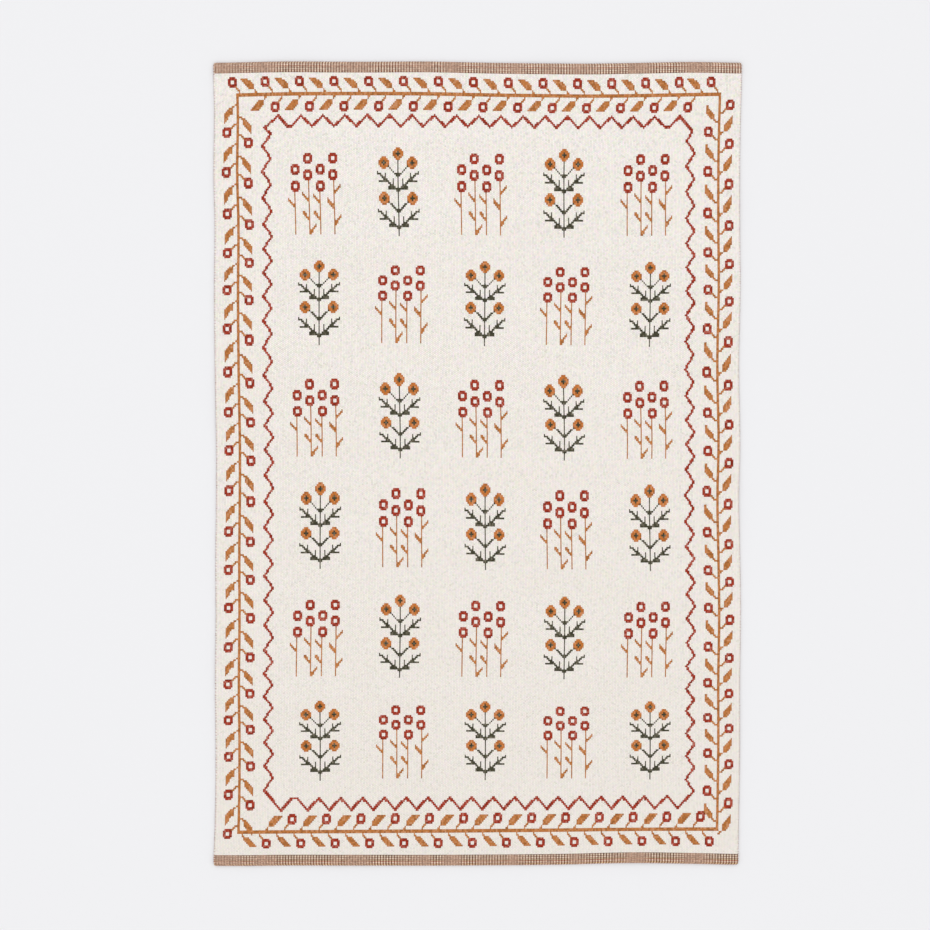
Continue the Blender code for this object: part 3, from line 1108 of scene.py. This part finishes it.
class RugSettings(bpy.types.PropertyGroup):
    """The rug's wool colours and the height of its stitches."""

    cream: FloatVectorProperty(
        name="Ground", description="Colour of the undyed ground wool", subtype="COLOR", min=0, max=1,
        default=linear(CREAM),
    )
    rust: FloatVectorProperty(
        name="Rust", description="Colour of the rings and the zigzag", subtype="COLOR", min=0, max=1,
        default=linear(RUST),
    )
    ochre: FloatVectorProperty(
        name="Ochre", description="Colour of the vine and the tall stalks", subtype="COLOR", min=0, max=1,
        default=linear(OCHRE),
    )
    gold: FloatVectorProperty(
        name="Gold", description="Colour of the marigold heads", subtype="COLOR", min=0, max=1,
        default=linear(GOLD),
    )
    green: FloatVectorProperty(
        name="Green", description="Colour of the marigold stems and hearts", subtype="COLOR", min=0, max=1,
        default=linear(GREEN),
    )
    stitch_height: FloatProperty(
        name="Stitch Height", description="How far a coloured stitch stands above the cloth", unit="LENGTH",
        min=0, max=3 * MM, default=STITCH_HEIGHT,
    )


class RUG_OT_weave_cloth(bpy.types.Operator):
    """Weave the cloth in one piece, from hem to hem, with its two end bands"""

    bl_idname = "rug.weave_cloth"
    bl_label = "Weave Cloth"

    def execute(self, context):
        piece = weave_cloth()
        finish_piece(piece, cream_ground(context.scene.rug))
        piece.data.materials.append(striped_band("mixed_wool_picks_plain_woven", BAND_GROUND, 0.25))
        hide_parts("rug")
        return {"FINISHED"}


class RUG_OT_weave_border(bpy.types.Operator):
    """Weave in the leafy vine, its berry rings and the zigzag"""

    bl_idname = "rug.weave_border"
    bl_label = "Weave Border"

    def execute(self, context):
        settings = context.scene.rug
        vine, rings, zigzag = chart_border()
        ochre = dyed_wool("ochre_dyed_wool_flatwoven", tuple(settings.ochre), 0.42)
        rust = dyed_wool("rust_dyed_wool_flatwoven", tuple(settings.rust), 0.5)
        finish_piece(stitch_piece("vine_border", vine, rings, VINE_NARROWING, settings), ochre)
        finish_piece(stitch_piece("border_rings", rings, vine, SHAPE_NARROWING, settings), rust)
        finish_piece(stitch_piece("zigzag_guard", zigzag, set(), SHAPE_NARROWING, settings), rust)
        return {"FINISHED"}


class RUG_OT_weave_field(bpy.types.Operator):
    """Weave in the marigold sprigs and the bunches of tall flowers"""

    bl_idname = "rug.weave_field"
    bl_label = "Weave Field"

    def execute(self, context):
        settings = context.scene.rug
        charts = chart_field()
        green = dyed_wool("green_dyed_wool_flatwoven", tuple(settings.green), 0.45)
        gold = dyed_wool("gold_dyed_wool_flatwoven", tuple(settings.gold), 0.42)
        ochre = dyed_wool("ochre_dyed_wool_stalks", tuple(settings.ochre), 0.42)
        rust = dyed_wool("rust_dyed_wool_rings", tuple(settings.rust), 0.5)
        finish_piece(stitch_piece("sprig_stems", charts["stems"], charts["heads"], STALK_NARROWING, settings), green)
        finish_piece(stitch_piece("sprig_heads", charts["heads"], charts["stems"], SHAPE_NARROWING, settings), gold)
        finish_piece(stitch_piece("bunch_stalks", charts["stalks"], charts["rings"], STALK_NARROWING, settings), ochre)
        finish_piece(stitch_piece("bunch_rings", charts["rings"], charts["stalks"], SHAPE_NARROWING, settings), rust)
        return {"FINISHED"}


class RUG_OT_finish_edges(bpy.types.Operator):
    """Add the end bands' darker columns, the turns of yarn at the sides and the hem stitches"""

    bl_idname = "rug.finish_edges"
    bl_label = "Finish Edges"

    def execute(self, context):
        columns = striped_band("dark_wool_columns_plain_woven", BAND_DARK, 0.35)
        finish_piece(lay_band_columns(), columns)
        finish_piece(turn_selvedges(), twisted_ends(context.scene.rug))
        finish_piece(sew_hems(), sewing_thread())
        return {"FINISHED"}


class RUG_OT_set_stage(bpy.types.Operator):
    """Set a pale floor, soft light and a camera straight above the rug"""

    bl_idname = "rug.set_stage"
    bl_label = "Set Stage"

    def execute(self, context):
        scene = context.scene
        bpy.ops.mesh.primitive_plane_add(size=9, location=(0, 0, -1.2 * MM))
        floor = context.object
        floor.name = "floor"
        floor.data.materials.append(pale_floor())
        world = bpy.data.worlds.new("soft_studio")
        world.use_nodes = True
        world.node_tree.nodes["Background"].inputs["Color"].default_value = (1.0, 1.0, 1.0, 1.0)
        world.node_tree.nodes["Background"].inputs["Strength"].default_value = WORLD_LIGHT
        scene.world = world
        light = bpy.data.lights.new("softbox", "AREA")
        light.shape = "RECTANGLE"
        light.size = 5
        light.size_y = 5
        light.energy = SOFTBOX_POWER
        softbox = bpy.data.objects.new("softbox", light)
        softbox.location = (-0.5, 0.7, 6.2)
        softbox.rotation_euler = Vector((0.5, -0.7, -6.2)).to_track_quat("-Z", "Y").to_euler()
        scene.collection.objects.link(softbox)
        view = bpy.data.cameras.new("camera")
        view.lens = CAMERA_LENS
        view.sensor_width = 36
        view.dof.use_dof = False
        camera = bpy.data.objects.new("camera", view)
        camera.location = CAMERA_PLACE
        scene.collection.objects.link(camera)
        scene.camera = camera
        scene.view_settings.view_transform = "Standard"
        scene.view_settings.look = "None"
        return {"FINISHED"}


class RUG_PT_panel(bpy.types.Panel):
    """The rug's steps and settings, in the 3D view's sidebar."""

    bl_idname = "RUG_PT_panel"
    bl_label = "Flatweave Rug"
    bl_space_type = "VIEW_3D"
    bl_region_type = "UI"
    bl_category = "Rug"

    def draw(self, context):
        settings = context.scene.rug
        for name in ("cream", "rust", "ochre", "gold", "green", "stitch_height"):
            self.layout.prop(settings, name)
        for step in STEPS:
            self.layout.operator(step.bl_idname)


STEPS = (RUG_OT_weave_cloth, RUG_OT_weave_border, RUG_OT_weave_field, RUG_OT_finish_edges, RUG_OT_set_stage)


def register():
    for kind in (RugSettings, *STEPS, RUG_PT_panel):
        bpy.utils.register_class(kind)
    bpy.types.Scene.rug = PointerProperty(type=RugSettings)


def unregister():
    del bpy.types.Scene.rug
    for kind in reversed((RugSettings, *STEPS, RUG_PT_panel)):
        bpy.utils.unregister_class(kind)


def main():
    register()
    bpy.ops.rug.weave_cloth()
    bpy.ops.rug.weave_border()
    bpy.ops.rug.weave_field()
    bpy.ops.rug.finish_edges()
    bpy.ops.rug.set_stage()


if __name__ == "__main__":
    main()
